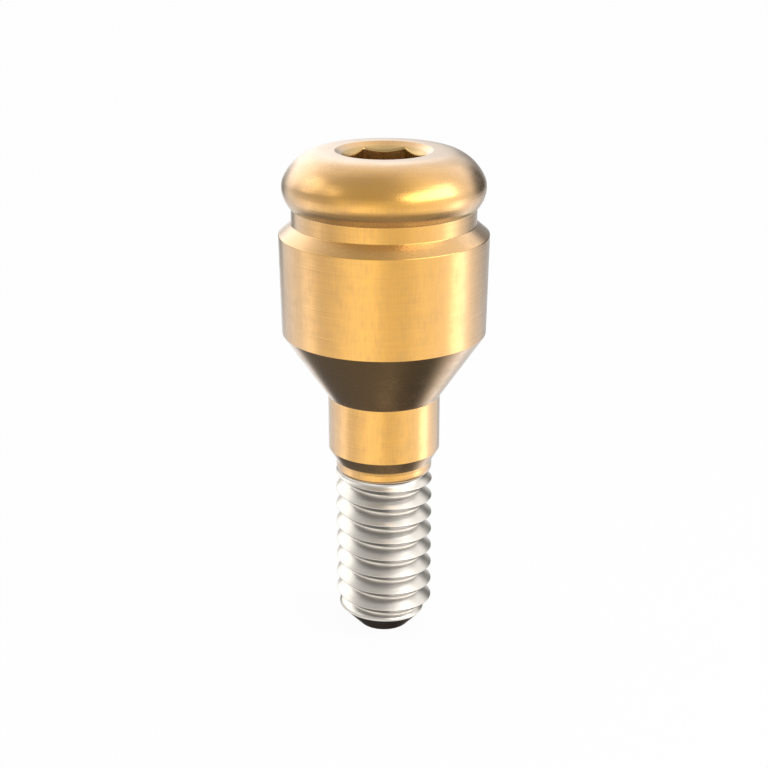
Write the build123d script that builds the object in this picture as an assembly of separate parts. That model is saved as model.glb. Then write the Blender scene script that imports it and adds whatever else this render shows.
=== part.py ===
from build123d import *
import math
import os

# One-piece turned abutment with a snap head, in millimetres.
# The origin is the centre of the implant seat, +Z points up to the head, the front is -Y.

# Snap head
head_diameter = 3.63
head_belly_rise = 0.38
belly_radius = 0.36
belly_sweep = 25.0
flank_radius = 0.86
flank_sweep = 39.0
crown_radius = 0.21
crown_slope = 5.5

# Neck, collar and cone above the seat
neck_diameter = 3.31
neck_height = 0.29
shoulder_height = 0.20
collar_top_diameter = 3.78
collar_bottom_diameter = 3.71
collar_height = 1.80
cone_height = 1.23

# Pilot and plain band below the seat
pilot_diameter = 2.07
pilot_length = 1.04
pilot_taper_height = 0.23
plain_band_length = 0.18
plain_band_taper_angle = 2.5

# Thread and tip
thread_diameter = 1.80
thread_pitch = 0.35
thread_length = 3.25
thread_is_left_hand = True
thread_flank_angle = 60.0
thread_crest_width = 0.015
thread_root_width = 0.085
crest_relief = 0.002
runout_turns = 0.75
ridge_start_angle = 90.0
tip_diameter = 0.95
tip_chamfer_angle = 45.0

# Hex socket
socket_mouth_diameter = 1.74
countersink_angle = 120.0
hex_across_flats = 1.27
hex_depth = 1.30
drill_point_angle = 118.0

# Radius on the corners left by the turning tool
edge_radius = 0.02

# Levels worked out from the sizes above
collar_top_z = cone_height + collar_height
neck_bottom_z = collar_top_z + shoulder_height
neck_top_z = neck_bottom_z + neck_height
belly_z = neck_top_z + head_belly_rise
band_top_z = -pilot_length - pilot_taper_height
thread_top_z = band_top_z - plain_band_length
tip_z = thread_top_z - thread_length
bar_end_z = tip_z - thread_pitch


def slope_height(width, angle):
    """Height of a slope of the given width that leans from the axis by an angle in degrees."""
    return width / math.tan(math.radians(angle))


def on_circle(centre, radius, angle):
    """Point of a circle in the outline's plane, at an angle in degrees from the outward direction."""
    turn = math.radians(angle)
    return (centre[0] + radius * math.cos(turn), centre[1] + radius * math.sin(turn))


def arc(centre, radius, start, end):
    """Arc of the outline between two angles in degrees."""
    return ThreePointArc(*[on_circle(centre, radius, angle) for angle in (start, (start + end) / 2, end)])


def groove_depth():
    """Depth of the thread groove below its crest."""
    flank_width = (thread_pitch - thread_crest_width - thread_root_width) / 2
    return slope_height(flank_width, thread_flank_angle / 2)


def stem_outline():
    """Outline from the untrimmed bar end, up the thread's core and runout, to the top of the neck."""
    core_radius = thread_diameter / 2 - groove_depth()
    band_end_radius = thread_diameter / 2 + crest_relief
    band_flare = plain_band_length * math.tan(math.radians(plain_band_taper_angle))
    core = Polyline(
        (0, bar_end_z),
        (core_radius, bar_end_z),
        (core_radius, thread_top_z - runout_turns * thread_pitch),
        (band_end_radius, thread_top_z),
    )
    corners = [
        (band_end_radius + band_flare, band_top_z),
        (pilot_diameter / 2, -pilot_length),
        (pilot_diameter / 2, 0),
        (collar_bottom_diameter / 2, cone_height),
        (collar_top_diameter / 2, collar_top_z),
        (neck_diameter / 2, neck_bottom_z),
    ]
    stem = FilletPolyline(core @ 1, *corners, (neck_diameter / 2, neck_top_z), radius=edge_radius)
    return [core, stem]


def head_outline():
    """Outline of the snap head, from the top of the neck up to the socket mouth."""
    head_radius = head_diameter / 2
    overhang = head_radius - neck_diameter / 2
    under_radius = (head_belly_rise**2 + overhang**2) / (2 * overhang)
    under_angle = math.degrees(math.asin(head_belly_rise / under_radius))
    under = arc((head_radius - under_radius, belly_z), under_radius, -under_angle, 0)
    belly_centre = (head_radius - belly_radius, belly_z)
    belly = arc(belly_centre, belly_radius, 0, belly_sweep)
    flank_centre = on_circle(belly_centre, belly_radius - flank_radius, belly_sweep)
    flank_end = belly_sweep + flank_sweep
    flank = arc(flank_centre, flank_radius, belly_sweep, flank_end)
    crown_centre = on_circle(flank_centre, flank_radius - crown_radius, flank_end)
    crown = arc(crown_centre, crown_radius, flank_end, 90 - crown_slope)
    run = (crown @ 1).X - socket_mouth_diameter / 2
    mouth = crown @ 1 + Vector(-run, slope_height(run, 90 - crown_slope))
    return [under, belly, flank, crown, Line(crown @ 1, mouth)]


def turned_body():
    """The body with the bare core of its thread, and the height of its socket mouth."""
    stem = stem_outline()
    head = head_outline()
    mouth = head[-1] @ 1
    axis_side = Polyline(mouth, (0, mouth.Y), stem[0] @ 0)
    outline = make_face([*stem, *head, axis_side])
    return revolve(Plane.XZ * outline, Axis.Z), mouth.Y


def sunk_cone(diameter, point_angle):
    """Cone that points down from a circle at height zero."""
    height = slope_height(diameter / 2, point_angle / 2)
    return Cone(0, diameter / 2, height, align=(Align.CENTER, Align.CENTER, Align.MAX))


def hex_socket():
    """Hex recess below height zero, with a countersunk mouth and a drill point."""
    hexagon = RegularPolygon(hex_across_flats / 2, 6, major_radius=False)
    drill_point = Pos(0, 0, -hex_depth) * sunk_cone(hex_across_flats, drill_point_angle)
    return sunk_cone(socket_mouth_diameter, countersink_angle) + extrude(hexagon, -hex_depth) + drill_point


def ridge_section(helix):
    """Cross-section of the thread's ridge across the start of its helix, its foot just inside the core."""
    foot_x = -groove_depth() - edge_radius
    crest_y = thread_crest_width / 2
    foot_y = crest_y - foot_x * math.tan(math.radians(thread_flank_angle / 2))
    outline = Polyline((foot_x, -foot_y), (0, -crest_y), (0, crest_y), (foot_x, foot_y), close=True)
    across = Plane(helix @ 0, x_dir=(1, 0, 0), z_dir=helix % 0)
    return (across * make_face(outline)).face()


def thread_ridge():
    """One-turn lengths of the thread's ridge, end to end from below the tip up into the plain band."""
    helix = Helix(thread_pitch, thread_pitch, thread_diameter / 2, lefthand=thread_is_left_hand)
    turn = Rot(0, 0, ridge_start_angle) * sweep(ridge_section(helix), helix, is_frenet=True)
    turns = math.ceil((thread_top_z - bar_end_z) / thread_pitch)
    return [Pos(0, 0, thread_top_z - step * thread_pitch) * turn for step in range(turns)]


def tip_waste():
    """Bar turned away to leave the flat end of the tip and its chamfer."""
    outside = thread_diameter
    waste_end_z = bar_end_z - thread_pitch
    chamfer_top_z = tip_z + slope_height(outside - tip_diameter / 2, tip_chamfer_angle)
    tip = Polyline((outside, chamfer_top_z), (tip_diameter / 2, tip_z), (0, tip_z))
    waste_end = Polyline((0, tip_z), (0, waste_end_z), (outside, waste_end_z), (outside, chamfer_top_z))
    return revolve(Plane.XZ * make_face([tip, waste_end]), Axis.Z)


def abutment():
    """The finished one-piece abutment."""
    body, mouth_z = turned_body()
    return body + thread_ridge() - tip_waste() - Pos(0, 0, mouth_z) * hex_socket()


os.makedirs("parts", exist_ok=True)
export_step(abutment(), "parts/abutment.step")
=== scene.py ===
"""Dental abutment: one turned titanium piece with a nitride-coated body and a bare threaded end.

Sizes in the tables are millimetres and the mesh is in metres. The origin is the centre of the
implant seat, +Z points up to the head and the front is -Y.
"""
import math

import bpy
import numpy as np
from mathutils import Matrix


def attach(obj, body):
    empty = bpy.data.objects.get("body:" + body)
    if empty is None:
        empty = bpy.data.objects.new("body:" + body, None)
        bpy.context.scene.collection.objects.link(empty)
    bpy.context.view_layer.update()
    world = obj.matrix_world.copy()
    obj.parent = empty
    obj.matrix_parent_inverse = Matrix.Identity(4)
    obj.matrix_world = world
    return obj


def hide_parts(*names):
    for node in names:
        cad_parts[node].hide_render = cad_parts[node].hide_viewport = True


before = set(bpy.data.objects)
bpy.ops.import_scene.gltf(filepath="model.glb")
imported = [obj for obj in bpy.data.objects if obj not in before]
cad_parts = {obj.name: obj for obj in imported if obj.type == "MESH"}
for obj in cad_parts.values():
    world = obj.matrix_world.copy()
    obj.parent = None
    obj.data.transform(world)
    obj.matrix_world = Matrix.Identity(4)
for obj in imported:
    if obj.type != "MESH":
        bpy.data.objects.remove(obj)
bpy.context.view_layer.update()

MM = 0.001
COLUMNS = 234  # a multiple of six, so that the corners of the hex fall on columns

# Snap head: its arcs are (radius, start, end), in degrees from the outward direction
MOUTH_RADIUS = 0.870
MOUTH_Z = 4.516
MOUTH_RIM = 0.03  # width of the countersink's last ring, next to the rounded mouth
MOUTH_ROUND = 0.02
FLANK_ARC = (0.857, 64.4, 25.3)
BELLY_ARC = (0.357, 25.3, 0.0)
HEAD_RADIUS = 1.814
HEAD_Z = 3.894

# Neck, collar, cone, pilot and plain band, corner by corner
NECK_RADIUS = 1.655
NECK_TOP_Z = 3.517
NECK_BOTTOM_Z = 3.231
COLLAR_TOP = (1.889, 3.033)
COLLAR_BOTTOM = (1.857, 1.226)
PILOT_RADIUS = 1.034
PILOT_END_Z = -1.037
BAND_TOP = (0.902, -1.268)
BAND_RADIUS = 0.893
BAND_END_Z = -1.458
BAND_SPLIT_Z = BAND_END_Z + 0.12  # the turned rows end here and the thread's rows begin
CORNER_ROUNDS = (0.008, 0.02, 0.022, 0.02, 0.025, 0.02, 0.02)

# Thread, cut left-handed as pictured
THREAD_TOP_Z = -1.450
THREAD_RADIUS = 0.9024
PITCH = 0.350
CREST_FLAT = 0.012
ROOT_FLAT = 0.020
FLANK_LEAN = 40.0
THREAD_ROUNDS = (0.009, 0.018, 0.018, 0.009)  # crest, root, root, crest
FIRST_TURN, LAST_TURN = -1, 10  # from above the band's end to below the tip
BEVEL_SLOPE = 1.2  # loss of radius for each millimetre below the band's end
BEVEL_ROUND = 0.012
BEVEL_BLEND = 0.006  # width over which the bevel runs into the groove
PLAIN_ABOVE = 0.05  # height over the band's end from which no groove shows

# Tip
TIP_RADIUS = 0.474
TIP_Z = -4.715
TIP_CHAMFER_TOP_Z = -4.257
TIP_SPLIT_Z = -4.52  # the thread's rows end here and the turned rows begin
TIP_ROUND = 0.03
CHAMFER_SLOPE = (THREAD_RADIUS - TIP_RADIUS) / (TIP_CHAMFER_TOP_Z - TIP_Z)

# Hex socket, with a 120 degree countersink and a 118 degree drill point
HEX_HALF_WIDTH = 0.635
HEX_DEPTH = 1.30
SOCKET_EDGE_ROUND = 0.03
COUNTERSINK_SLOPE = math.tan(math.radians(30))
DRILL_SLOPE = math.tan(math.radians(31))

# Colours of the finish and of its painted shade, as each mirrors white light, and of the floor
NITRIDE = "#fcbf62"
NITRIDE_AT_FLAT_ANGLE = "#e4dcd4"
NITRIDE_WORN = "#a89078"
# Painted shade in the socket's recess
NITRIDE_PAINTED_SHADE_IN_SOCKET = "#d8b67c"
# Painted shade in the corner under the head
NITRIDE_PAINTED_SHADE_UNDER_HEAD = "#cdb88c"
BARE_TITANIUM = "#f4eee4"
# Painted shade on the thread's down-facing flanks and on the tip
PAINTED_SHADE_FLANK = "#706c6a"
PAINTED_SHADE_TIP = "#a28a79"
FLOOR_WHITE = "#f2f2f2"

# Where the finish and the painted shade change: heights and radii, from none of it to all of it
COAT_END = (-1.492, -1.468)
# The ball in the socket that holds its painted shade
SOCKET_MIDDLE_Z = 3.6
SOCKET_REACH = (1.11, 1.16)
# Where the painted shade under the head lies
UNDER_HEAD_FROM = (3.51, 3.53)
UNDER_HEAD_TO = (3.66, 3.57)
# Painted shade on the down-facing flanks, out from the root, and on the tip
PAINTED_SHADE_FLANK_RADIUS = (0.732, 0.765)
PAINTED_SHADE_FLANK_NORMAL = (-0.2, -0.5)  # upward part of the unit normal
PAINTED_SHADE_TIP_HEIGHT = (-4.38, -4.46)
SATIN_HEAD_HEIGHT = (3.25, 3.5)
COAT_ROUGHNESS = (0.17, 0.42)  # smoothest and roughest spots
BARE_ROUGHNESS = (0.24, 0.38)

# Studio surroundings, which the metal mirrors. A patch is (azimuth from the front to the right,
# elevation, inner and outer radius in degrees), then the level that it adds to the room.
PATCHES = (
    # White wall behind, with a dark gap low in it
    (-168, 35, 20, 58, 0.40),
    (-172, 20, 5, 23, 0.34),
    (180, 40, 5, 22, 0.16),
    (172, 6, 3, 16, -0.55),
    # Glow of the key lamp on the right, and the soft panels beside it
    (100, 45, 10, 48, 0.42),
    (88, 51, 4, 16, 0.12),
    (74, 5, 6, 28, 0.28),
    (38, 10, 5, 24, 0.15),
    (135, 29, 4, 16, 0.30),
    # Soft panels on the left
    (-142, 25, 8, 26, 0.55),
    (-104, 31, 4, 20, 1.10),
    (-72, 37, 3, 14, 0.75),
    # Narrow panels low on the right, on the left and in front
    (90, -21, 3, 15, 1.05),
    (-92, -22, 3, 13, 0.36),
    (-22, -20, 4, 20, 0.15),
    # Grey cards round the horizon
    (-90, 2, 15, 45, -0.20),
    (-62, -10, 4, 22, -0.17),
    (15, -14, 6, 24, -0.20),
    (120, -7, 4, 18, -0.20),
    # Dark cards behind on the right
    (140, 4, 4, 25, -0.60),
    (147, -3, 10, 38, -0.28),
    (158, -27, 4, 18, -0.25),
    # Dark cards behind on the left
    (-151, -3, 4, 18, -0.80),
    (-154, -18, 3, 12, -0.25),
    (-135, -28, 4, 18, -0.30),
    # Dark cards on the floor behind, with a lighter strip between them
    (118, -60, 12, 28, -0.65),
    (180, -60, 5, 30, -0.60),
    (142, -44, 4, 14, 0.40),
)
ROOM_HEIGHTS, ROOM_LEVELS = (-0.4, 0.55), (1.06, 0.46)  # from the floor's white to the ceiling
LEAST_LEVEL = 0.05
CARD_BELOW_HEIGHTS, CARD_BELOW_LEVEL = (-0.50, -0.67), 0.27  # dark card under the part
CARD_LEFT, CARD_LEFT_LEVEL = (-148, -72, 24, 42), 0.36  # and one more on its left
CARD_OPENING = (129, -40, 9, 22)  # white floor seen past the cards

# Settings of nodes, and the sockets of a Mix node for numbers and for colours
SMOOTH = {"interpolation_type": "SMOOTHSTEP"}
PLUS = {"operation": "ADD"}
TIMES = {"operation": "MULTIPLY"}
GREATER = {"operation": "MAXIMUM"}
COLOUR_MIX = {"data_type": "RGBA"}
MIX_A, MIX_B, MIXED = 2, 3, 0
COLOUR_A, COLOUR_B, COLOUR_MIXED = 6, 7, 2


def arc(centre, radius, start, end, steps=14):
    """Points of a circle in the (r, z) plane: centre plus radius times (cos a, sin a), a in degrees."""
    angle = np.radians(np.linspace(start, end, steps))
    return np.stack([centre[0] + radius * np.cos(angle), centre[1] + radius * np.sin(angle)], 1)


def rounded(corners, radius, steps=5, support=0.006):
    """Polyline whose inner corners are arcs tangent to both sides, with a point just outside each arc.

    For a corner P with unit sides a and b, half the angle between them is h: the arc's centre lies
    radius / sin(h) from P along a + b, and it touches the sides radius / tan(h) from P. Between
    these it turns evenly by the angle s = 180 degrees less 2 h: at the share t of the way its point
    is (sin((1 - t) s) times the first radius plus sin(t s) times the last) / sin(s).
    """
    corners = np.asarray(corners, float)
    point = corners[1:-1]
    a = corners[:-2] - point
    b = corners[2:] - point
    a /= np.linalg.norm(a, axis=1, keepdims=True)
    b /= np.linalg.norm(b, axis=1, keepdims=True)
    half = np.arccos(np.clip((a * b).sum(1), -1, 1)) / 2
    radius = np.broadcast_to(np.asarray(radius, float), half.shape)
    bisector = (a + b) / np.linalg.norm(a + b, axis=1, keepdims=True)
    centre = point + bisector * (radius / np.sin(half))[:, None]
    touch = (radius / np.tan(half))[:, None]
    from_a = (point + a * touch - centre)[:, None]
    from_b = (point + b * touch - centre)[:, None]
    share = np.linspace(0, 1, steps)[None, :, None]
    sweep = (math.pi - 2 * half)[:, None, None]
    spoke = (np.sin((1 - share) * sweep) * from_a + np.sin(share * sweep) * from_b) / np.sin(sweep)
    before = (point + a * (touch + support))[:, None]
    after = (point + b * (touch + support))[:, None]
    middle = np.concatenate([before, centre[:, None] + spoke, after], 1).reshape(-1, 2)
    return np.concatenate([corners[:1], middle, corners[-1:]])


def head_profile():
    """Snap head from the mouth down to the neck: a domed crown, then arcs tangent to each other.

    At the share t of the way out from the mouth to the flank the crown lies t to the power n times
    the whole drop below the mouth, with n such that it meets the flank at the flank's slope. The
    arc under the belly starts upright and ends at the neck's corner: its radius is
    (rise squared plus overhang squared) / (2 overhang).
    """
    belly_radius, belly_start, _ = BELLY_ARC
    flank_radius, flank_start, _ = FLANK_ARC
    belly_centre = np.array([HEAD_RADIUS - belly_radius, HEAD_Z])
    lean = np.radians(belly_start)
    flank_centre = belly_centre + (belly_radius - flank_radius) * np.array([np.cos(lean), np.sin(lean)])
    flank = arc(flank_centre, *FLANK_ARC, steps=18)
    width = flank[0, 0] - MOUTH_RADIUS
    drop = MOUTH_Z - flank[0, 1]
    power = width / math.tan(math.radians(flank_start)) / drop
    share = np.linspace(0.06, 1, 16)[:-1]  # from just outside the rounded mouth
    crown = np.stack([MOUTH_RADIUS + width * share, MOUTH_Z - drop * share**power], 1)
    belly = arc(belly_centre, *BELLY_ARC)
    rise = HEAD_Z - NECK_TOP_Z
    overhang = HEAD_RADIUS - NECK_RADIUS
    under_radius = (rise**2 + overhang**2) / (2 * overhang)
    under_end = -math.degrees(math.asin(rise / under_radius))
    under = arc((HEAD_RADIUS - under_radius, HEAD_Z), under_radius, 0, under_end)
    return crown, np.concatenate([flank, belly[1:], under[1:]])


def body_profile():
    """(r, z) from the mouth of the socket down to where the thread's rows begin on the plain band."""
    crown, lower_head = head_profile()
    countersink = (MOUTH_RADIUS - MOUTH_RIM, MOUTH_Z - MOUTH_RIM * COUNTERSINK_SLOPE)
    mouth = rounded([countersink, (MOUTH_RADIUS, MOUTH_Z), crown[0]], MOUTH_ROUND)
    corners = [
        lower_head[-2],
        lower_head[-1],
        (NECK_RADIUS, NECK_BOTTOM_Z),
        COLLAR_TOP,
        COLLAR_BOTTOM,
        (PILOT_RADIUS, 0),
        (PILOT_RADIUS, PILOT_END_Z),
        BAND_TOP,
        (BAND_RADIUS, BAND_SPLIT_Z),
    ]
    stem = rounded(corners, CORNER_ROUNDS)
    return np.concatenate([mouth, crown[1:], lower_head[:-1], stem[1:]])


def turned(profile, angle):
    """Surface of revolution: (r cos a, r sin a, z) for each profile point and each angle a."""
    r, z = profile[:, :1], profile[:, 1:]
    return np.stack([r * np.cos(angle), r * np.sin(angle), z + 0 * angle], -1)


def socket_grid(angle):
    """Rows from the drill point up the hex walls and the countersink to the mouth.

    With d the angle from the middle of the nearest flat, the wall's radius is half the width over
    cos d. Its upper edge lies on the countersink, at the mouth's height less the slope times the
    distance in from the mouth. A parabola rounds it over: at the share t its radius is the wall's
    plus the round times t squared, and its height is the edge's plus the round times
    (slope t squared less (1 - t) squared).
    """
    from_flat = angle % math.radians(60) - math.radians(30)
    hexagon = HEX_HALF_WIDTH / np.cos(from_flat)
    edge_z = MOUTH_Z - (MOUTH_RADIUS - hexagon) * COUNTERSINK_SLOPE
    floor_z = MOUTH_Z - HEX_DEPTH
    drill_share = np.array([[0.0], [0.5], [0.97], [1.0]])
    wall_share = np.array([[0.02], [0.5], [0.92], [0.965]])
    round_share = np.linspace(0, 1, 6)[:, None]
    cone_share = np.array([[0.1], [0.5], [0.9]])
    cone_start = hexagon + SOCKET_EDGE_ROUND
    cone = cone_start + (MOUTH_RADIUS - MOUTH_RIM - cone_start) * cone_share
    r = [
        hexagon * drill_share,
        hexagon + 0 * wall_share,
        hexagon + SOCKET_EDGE_ROUND * round_share**2,
        cone,
    ]
    z = [
        floor_z - HEX_HALF_WIDTH * DRILL_SLOPE * (1 - drill_share) + 0 * hexagon,
        floor_z + (edge_z - floor_z) * wall_share,
        edge_z + SOCKET_EDGE_ROUND * (COUNTERSINK_SLOPE * round_share**2 - (1 - round_share) ** 2),
        edge_z + (cone - hexagon) * COUNTERSINK_SLOPE,
    ]
    r, z = np.concatenate(r), np.concatenate(z)
    return np.stack([r * np.cos(angle), r * np.sin(angle), z], -1)


def groove_rows():
    """(height above the groove's middle, depth below the crest) over one pitch, from the top down.

    The flanks are straight between the rounded crest and root. The groove's depth is half the pitch
    left between the two flats, over the tangent of the flank's lean.
    """
    depth = (PITCH - CREST_FLAT - ROOT_FLAT) / 2 / math.tan(math.radians(FLANK_LEAN))
    half, root = PITCH / 2, ROOT_FLAT / 2
    crest = half - CREST_FLAT / 2
    corners = [(half, 0), (crest, 0), (root, depth), (-root, depth), (-crest, 0), (-half, 0)]
    rows = rounded(corners, THREAD_ROUNDS, steps=4, support=0.003)
    share = np.linspace(0.25, 0.75, 3)
    flank = np.stack([root + (crest - root) * share, depth * (1 - share)], 1)
    rows = np.concatenate([rows, flank, flank * (-1, 1)])
    return rows[np.argsort(-rows[:, 0], kind="stable")][:-1]


def softened(first, second, width):
    """The greater of two values, its corner rounded: second + w log(1 + exp((first - second) / w))."""
    return second + width * np.logaddexp(0, (first - second) / width)


def thread_grid(angle, top_ring, bottom_ring):
    """Rows that follow the left-hand helix, from the plain band down onto the tip's chamfer.

    At turn t the groove's middle lies at the thread's top less pitch times t. The bevel at the end
    of the plain band loses its slope times the depth below that end, with a rounded start. The
    radius is the greater of the groove's and the bevel's, and never more than that of the tip's
    cone. Rows past either ring are laid on it.
    """
    rows = groove_rows()
    height, depth = rows[:, 0], rows[:, 1]
    share = ((angle + math.pi / 2) % (2 * math.pi)) / (2 * math.pi)
    turn = np.arange(FIRST_TURN, LAST_TURN)[:, None, None] + share[None, None, :]
    z = (THREAD_TOP_Z - PITCH * turn + height[None, :, None]).reshape(-1, len(angle))
    groove = THREAD_RADIUS - np.tile(depth, LAST_TURN - FIRST_TURN)[:, None]
    bevel = BAND_RADIUS - BEVEL_SLOPE * softened(BAND_END_Z - z, 0, BEVEL_ROUND)
    blended = softened(bevel, groove, BEVEL_BLEND)
    cone = TIP_RADIUS + (z - TIP_Z) * CHAMFER_SLOPE
    r = np.minimum(np.where(z > BAND_END_Z + PLAIN_ABOVE, bevel, blended), cone)
    grid = np.stack([r * np.cos(angle), r * np.sin(angle), z], -1)
    grid = np.where((z > top_ring[0, 2])[..., None], top_ring, grid)
    return np.where((z < bottom_ring[0, 2])[..., None], bottom_ring, grid), len(rows)


def tip_profile():
    """(r, z) from the full cone of the chamfer down round its edge to the middle of the flat end."""
    start = (TIP_RADIUS + (TIP_SPLIT_Z - TIP_Z) * CHAMFER_SLOPE, TIP_SPLIT_Z)
    return rounded([start, (TIP_RADIUS, TIP_Z), (0, TIP_Z)], TIP_ROUND)


def grid_faces(rows, columns, start):
    """Two triangles for each cell of a grid whose corners are numbered row by row from start."""
    number = start + np.arange(rows * columns).reshape(rows, columns)
    a, b, c, d = number[:-1, :-1], number[1:, :-1], number[1:, 1:], number[:-1, 1:]
    halves = [np.stack([a, b, d], -1), np.stack([b, c, d], -1)]
    return np.concatenate([half.reshape(-1, 3) for half in halves])


def welded(points, faces):
    """Equal points become one vertex. Faces that lose a corner by it, or lie back to back, go."""
    _, first, number = np.unique(np.round(points, 7), axis=0, return_index=True, return_inverse=True)
    faces = number.reshape(-1)[faces]
    a, b, c = faces.T
    faces = faces[(a != b) & (b != c) & (c != a)]
    _, place, uses = np.unique(np.sort(faces), axis=0, return_inverse=True, return_counts=True)
    return points[first], faces[uses[place.reshape(-1)] == 1]


def mesh_piece(name, points, faces):
    """Object at the origin whose smooth triangles have the given corners, in millimetres."""
    mesh = bpy.data.meshes.new(name)
    mesh.vertices.add(len(points))
    mesh.vertices.foreach_set("co", (points * MM).astype(np.float32).ravel())
    mesh.loops.add(faces.size)
    mesh.loops.foreach_set("vertex_index", faces.astype(np.int32).ravel())
    mesh.polygons.add(len(faces))
    mesh.polygons.foreach_set("loop_start", np.arange(0, faces.size, 3, dtype=np.int32))
    mesh.update(calc_edges=True)
    mesh.validate()
    mesh.shade_smooth()
    piece = bpy.data.objects.new(name, mesh)
    bpy.context.scene.collection.objects.link(piece)
    return piece


def closed(grid, shift=0):
    """The grid with its first column again at the end, moved up by shift rows for a helix's seam."""
    seam = np.concatenate([grid[shift:, :1], np.repeat(grid[-1:, :1], shift, 0)])
    return np.concatenate([grid, seam], 1)


def abutment_piece():
    """The whole abutment as one closed surface: socket, turned body, thread and tip."""
    angle = -math.pi / 2 + np.arange(COLUMNS) * 2 * math.pi / COLUMNS
    socket = socket_grid(angle)
    body = turned(body_profile(), angle)
    tip = turned(tip_profile(), angle)
    thread, rows_per_turn = thread_grid(angle, body[-1], tip[0])
    upper = closed(np.concatenate([socket, body]))
    middle = closed(thread, rows_per_turn)
    lower = closed(tip)
    points, faces, start = [], [], 0
    for grid in (upper, middle, lower):
        points.append(grid.reshape(-1, 3))
        faces.append(grid_faces(*grid.shape[:2], start))
        start += len(points[-1])
    return mesh_piece("abutment_turned", *welded(np.concatenate(points), np.concatenate(faces)))


def linear(colour):
    """sRGB hex colour as linear RGBA: under 0.04045 a twelfth of it, above it the 2.4 power curve."""
    value = np.array([int(colour[i : i + 2], 16) for i in (1, 3, 5)]) / 255
    value = np.where(value <= 0.04045, value / 12.92, ((value + 0.055) / 1.055) ** 2.4)
    return (*value.tolist(), 1.0)


def node(tree, kind, inputs=None, output=0, settings=None):
    """Adds a shader node with its settings, sets or links its inputs, and returns one output.

    The kind is Blender's name for it without ShaderNode in front.
    """
    new = tree.nodes.new("ShaderNode" + kind)
    for key, value in (settings or {}).items():
        setattr(new, key, value)
    for key, value in (inputs or {}).items():
        if isinstance(value, bpy.types.NodeSocket):
            tree.links.new(value, new.inputs[key])
        else:
            new.inputs[key].default_value = value
    return new.outputs[output] if new.outputs else None


def empty_material(name):
    """New material with no nodes, and its node tree."""
    material = bpy.data.materials.new(name)
    material.use_nodes = True
    material.node_tree.nodes.clear()
    return material, material.node_tree


def grain(tree, place, size, detail):
    """Noise of mean 0.5 whose lumps have this size in millimetres along x, y and z."""
    scale = tuple(1 / (length * MM) for length in size)
    spread = node(tree, "Mapping", {"Vector": place, "Scale": scale})
    return node(tree, "TexNoise", {"Vector": spread, "Scale": 1.0, "Detail": detail})


def span(value, ends, levels=(0.0, 1.0), unit=1.0):
    """Inputs of a range: the value's way between two ends, in this unit, carried to two levels."""
    start, end = (unit * each for each in ends)
    low, high = levels
    return {"Value": value, "From Min": start, "From Max": end, "To Min": low, "To Max": high}


def nitride_colour(tree, place, height, wear):
    """Colour of the nitride coat on the body, with painted shade in the corner under the head and in
    the socket.
    """
    # The gold pales to champagne where it is seen at a flat angle.
    facing = node(tree, "LayerWeight", {"Blend": 0.5}, "Facing")
    power = {"operation": "POWER", "use_clamp": True}
    paling = node(tree, "Math", {0: facing, 1: 1.35}, settings=power)
    tones = {COLOUR_A: linear(NITRIDE), COLOUR_B: linear(NITRIDE_AT_FLAT_ANGLE)}
    gold = node(tree, "Mix", {"Factor": paling, **tones}, COLOUR_MIXED, COLOUR_MIX)
    # Scratches are a shade darker than the coat round them.
    streaks = node(tree, "MapRange", span(wear, (0.18, 0.42), (0.0, 0.16)))
    tones = {COLOUR_A: gold, COLOUR_B: linear(NITRIDE_WORN)}
    worn = node(tree, "Mix", {"Factor": streaks, **tones}, COLOUR_MIXED, COLOUR_MIX)
    # Down in the socket, a ball round its middle, the gold is painted duller and darker: painted shade
    # of the recess.
    middle = {0: place, 1: (0, 0, SOCKET_MIDDLE_Z * MM)}
    distance = node(tree, "VectorMath", middle, "Value", {"operation": "DISTANCE"})
    outside = node(tree, "MapRange", span(distance, SOCKET_REACH, unit=MM), settings=SMOOTH)
    tones = {COLOUR_A: linear(NITRIDE_PAINTED_SHADE_IN_SOCKET), COLOUR_B: worn}
    coated = node(tree, "Mix", {"Factor": outside, **tones}, COLOUR_MIXED, COLOUR_MIX)
    # In the corner under the head the gold is painted duller and darker: painted shade.
    corner = outside
    for ends in (UNDER_HEAD_FROM, UNDER_HEAD_TO):
        share = node(tree, "MapRange", span(height, ends, unit=MM), settings=SMOOTH)
        corner = node(tree, "Math", {0: corner, 1: share}, settings=TIMES)
    tones = {COLOUR_A: coated, COLOUR_B: linear(NITRIDE_PAINTED_SHADE_UNDER_HEAD)}
    return node(tree, "Mix", {"Factor": corner, **tones}, COLOUR_MIXED, COLOUR_MIX)


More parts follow.
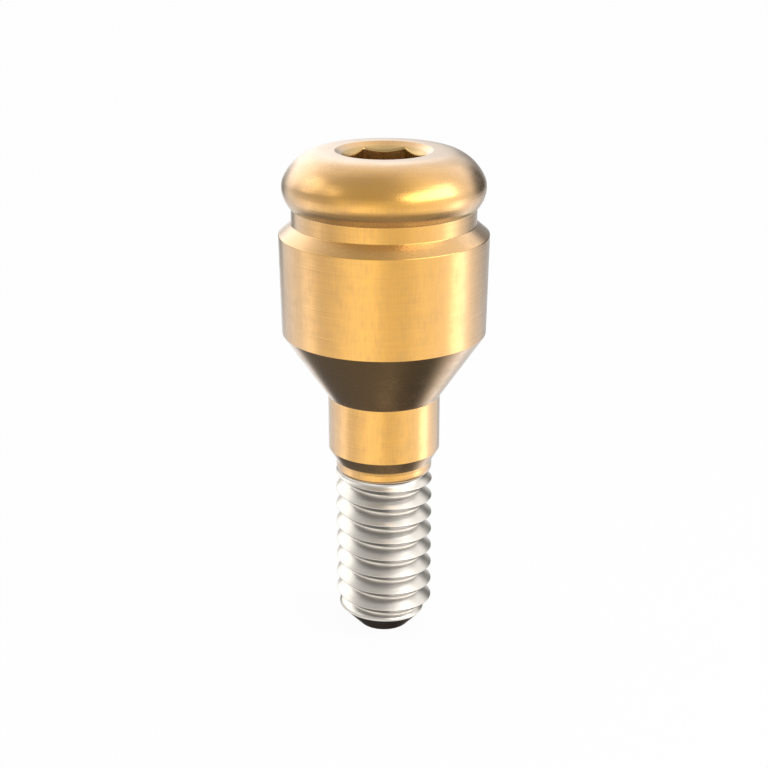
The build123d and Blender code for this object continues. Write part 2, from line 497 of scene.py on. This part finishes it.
def bare_colour(tree, place, height):
    """Colour of the bare titanium, with painted shade on the flanks that face down and on the tip.

    The outer parts of the down-facing flanks, and the tip's down-facing faces, are painted darker
    where shade would fall on them.
    """
    across = node(tree, "VectorMath", {0: place, 1: (1, 1, 0)}, settings=TIMES)
    radius = node(tree, "VectorMath", {0: across}, "Value", {"operation": "LENGTH"})
    normal = node(tree, "NewGeometry", output="Normal")
    rise = node(tree, "SeparateXYZ", {"Vector": normal}, "Z")
    # Painted shade: faces turned down, on the outer flanks and on the tip, take a darker tone
    down = node(tree, "MapRange", span(rise, PAINTED_SHADE_FLANK_NORMAL), settings=SMOOTH)
    outer = node(tree, "MapRange", span(radius, PAINTED_SHADE_FLANK_RADIUS, unit=MM), settings=SMOOTH)
    tip = node(tree, "MapRange", span(height, PAINTED_SHADE_TIP_HEIGHT, unit=MM), settings=SMOOTH)
    either = node(tree, "Math", {0: tip, 1: outer}, settings=GREATER)
    painted_shade = node(tree, "Math", {0: down, 1: either}, settings=TIMES)
    tones = {COLOUR_A: linear(PAINTED_SHADE_FLANK), COLOUR_B: linear(PAINTED_SHADE_TIP)}
    painted_shade_tone = node(tree, "Mix", {"Factor": tip, **tones}, COLOUR_MIXED, COLOUR_MIX)
    tones = {COLOUR_A: linear(BARE_TITANIUM), COLOUR_B: painted_shade_tone}
    return node(tree, "Mix", {"Factor": painted_shade, **tones}, COLOUR_MIXED, COLOUR_MIX)


def coated_titanium():
    """Turned titanium alloy, its body coated with titanium nitride and its thread left bare.

    The coat is a few thousandths of a millimetre of gold-coloured nitride laid on in a vacuum. It
    keeps the turned metal's satin mirror, so the eye sees broad soft bands of gold and brown. The
    bare thread is a greyer and rougher satin, with painted shade on its down-facing flanks and tip.
    """
    material, tree = empty_material("turned_titanium_nitride_coat")
    place = node(tree, "TexCoord", output="Object")
    height = node(tree, "SeparateXYZ", {"Vector": place}, "Z")
    # Handling scratches are a few thousandths of a millimetre wide, and drawn coarser to show.
    scratches = grain(tree, place, (0.035, 0.035, 0.3), 3.0)
    # Rings at the finishing cut's feed of 0.05 mm, and the uneven patches of a tumbled polish.
    rings = grain(tree, place, (3.0, 3.0, 0.05), 1.0)
    patches = grain(tree, place, (0.3, 0.3, 0.2), 2.0)
    wear = node(tree, "Math", {0: scratches, 1: patches}, settings=TIMES)
    coat = node(tree, "MapRange", span(height, COAT_END, unit=MM), settings=SMOOTH)
    bare, coated = bare_colour(tree, place, height), nitride_colour(tree, place, height, wear)
    tones = {COLOUR_A: bare, COLOUR_B: coated}
    colour = node(tree, "Mix", {"Factor": coat, **tones}, COLOUR_MIXED, COLOUR_MIX)
    # The coat is glossiest where it isn't worn, and the head a touch more satin than the rest.
    worn_rough = node(tree, "MapRange", span(wear, (0.0, 1.0), COAT_ROUGHNESS))
    head_rough = node(tree, "MapRange", span(height, SATIN_HEAD_HEIGHT, (0.0, 0.04), MM))
    coat_rough = node(tree, "Math", {0: worn_rough, 1: head_rough}, settings=PLUS)
    bare_rough = node(tree, "MapRange", span(patches, (0.0, 1.0), BARE_ROUGHNESS))
    roughness = node(tree, "Mix", {"Factor": coat, MIX_A: bare_rough, MIX_B: coat_rough}, MIXED)
    bump = node(tree, "Bump", {"Height": rings, "Strength": 1.0, "Distance": 0.002 * MM})
    metal = {"Base Color": colour, "Metallic": 1.0, "Roughness": roughness, "Normal": bump}
    shader = node(tree, "BsdfPrincipled", metal)
    node(tree, "OutputMaterial", {"Surface": shader})
    return material


def studio_floor():
    """Wide white floor just below the tip that keeps a faint shadow.

    It is a flat square. The camera sees it mostly as plain white. The metal mirrors the low part of
    the world instead, and light from below reaches the part through it.
    """
    half, gap = 400, 0.01
    corners = np.array([(-half, -half), (half, -half), (half, half), (-half, half)], float)
    points = np.concatenate([corners, np.full((4, 1), TIP_Z - gap)], 1)
    floor = mesh_piece("studio_floor", points, np.array([(0, 1, 2), (0, 2, 3)]))
    floor.visible_glossy = False
    floor.visible_shadow = False
    floor.data.materials.append(white_paint())
    return floor


def white_paint():
    """Matt white paint: almost plain white to the camera, but dimmer where a shadow falls on it."""
    material, tree = empty_material("white_floor")
    lit = node(tree, "BsdfDiffuse", {"Color": linear(FLOOR_WHITE)})
    white = node(tree, "Emission", {"Color": (1, 1, 1, 1), "Strength": 1.0})
    camera = node(tree, "LightPath", output="Is Camera Ray")
    mirror = node(tree, "LightPath", output="Is Glossy Ray")
    seen = node(tree, "Math", {0: camera, 1: mirror}, settings=GREATER)
    share = node(tree, "Math", {0: seen, 1: 0.96}, settings=TIMES)
    top = node(tree, "MixShader", {0: share, 1: lit, 2: white})
    # Clear from below, so that the part's underside can be seen.
    behind = node(tree, "NewGeometry", output="Backfacing")
    clear = node(tree, "BsdfTransparent")
    shown = node(tree, "MixShader", {0: behind, 1: top, 2: clear})
    node(tree, "OutputMaterial", {"Surface": shown})
    return material


def direction(azimuth, elevation):
    """Unit vector of an azimuth, 0 at the front and 90 on the right, and an elevation, in degrees."""
    turn, rise = math.radians(azimuth), math.radians(elevation)
    return (math.sin(turn) * math.cos(rise), -math.cos(turn) * math.cos(rise), math.sin(rise))


def key_lamp():
    """Soft box on the right in front, aimed at the middle of the part.

    Its energy is pi times its area times its radiance, which is how bright the metal mirrors it.
    """
    azimuth, elevation, distance = 57, 35, 30 * MM
    width, height, radiance = 30 * MM, 15 * MM, 2.6
    data = bpy.data.lights.new("key_softbox", "AREA")
    data.shape = "RECTANGLE"
    data.size, data.size_y = width, height
    data.energy = radiance * math.pi * width * height
    lamp = bpy.data.objects.new("key_softbox", data)
    lamp.location = [distance * part for part in direction(azimuth, elevation)]
    lamp.rotation_euler = (math.pi / 2 - math.radians(elevation), 0, math.radians(azimuth))
    lamp.visible_camera = False
    bpy.context.scene.collection.objects.link(lamp)


def spot(tree, way, patch, low, high):
    """Level that is low outside a round patch of the surroundings and high inside it.

    It runs smoothly between the two with the cosine of the angle from the patch's middle.
    """
    azimuth, elevation, inner, outer = patch
    middle = {0: way, 1: direction(azimuth, elevation)}
    closeness = node(tree, "VectorMath", middle, "Value", {"operation": "DOT_PRODUCT"})
    edge = (math.cos(math.radians(outer)), math.cos(math.radians(inner)))
    return node(tree, "MapRange", span(closeness, edge, (low, high)), settings=SMOOTH)


def studio_world():
    """White room with soft panels and dark cards round the part, and full white to the camera.

    The level falls from the floor's white to a dimmer ceiling. Each patch is added to it, the dark
    cards below multiply it, and the opening lets the white floor show past them.
    """
    world = bpy.data.worlds.new("studio_white")
    bpy.context.scene.world = world
    world.use_nodes = True
    tree = world.node_tree
    tree.nodes.clear()
    way = node(tree, "TexCoord", output="Generated")
    height = node(tree, "SeparateXYZ", {"Vector": way}, "Z")
    room = node(tree, "MapRange", span(height, ROOM_HEIGHTS, ROOM_LEVELS))
    for *patch, level in PATCHES:
        room = node(tree, "Math", {0: room, 1: spot(tree, way, patch, 0.0, level)}, settings=PLUS)
    lit = node(tree, "Math", {0: room, 1: LEAST_LEVEL}, settings=GREATER)
    fall = span(height, CARD_BELOW_HEIGHTS, (1.0, CARD_BELOW_LEVEL))
    below = node(tree, "MapRange", fall, settings=SMOOTH)
    left = spot(tree, way, CARD_LEFT, 1.0, CARD_LEFT_LEVEL)
    cards = node(tree, "Math", {0: below, 1: left}, settings=TIMES)
    opening = spot(tree, way, CARD_OPENING, 0.0, 1.0)
    shade = node(tree, "Mix", {"Factor": opening, MIX_A: cards, MIX_B: 1.0}, MIXED)
    seen = node(tree, "Math", {0: lit, 1: shade}, settings=TIMES)
    camera = node(tree, "LightPath", output="Is Camera Ray")
    level = node(tree, "Mix", {"Factor": camera, MIX_A: seen, MIX_B: 1.0}, MIXED)
    light = node(tree, "Background", {"Color": (1, 1, 1, 1), "Strength": level})
    node(tree, "OutputWorld", {"Surface": light})


def photo_camera():
    """Camera in front and 19.94 degrees above, aimed at a point of the axis just over the seat."""
    rise, distance, aim_z = math.radians(19.94), 27.42, 0.157  # millimetres
    data = bpy.data.cameras.new("camera")
    data.sensor_width = 36
    data.lens = 69.48
    data.clip_start = 0.001
    data.clip_end = 5
    camera = bpy.data.objects.new("camera", data)
    camera.location = (0, -distance * math.cos(rise) * MM, (aim_z + distance * math.sin(rise)) * MM)
    camera.rotation_euler = (math.pi / 2 - rise, 0, 0)
    bpy.context.scene.collection.objects.link(camera)
    bpy.context.scene.camera = camera


piece = abutment_piece()
piece.data.materials.append(coated_titanium())
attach(piece, "root")
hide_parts("abutment")

studio_floor()
key_lamp()
studio_world()
photo_camera()
bpy.context.scene.view_settings.view_transform = "Standard"
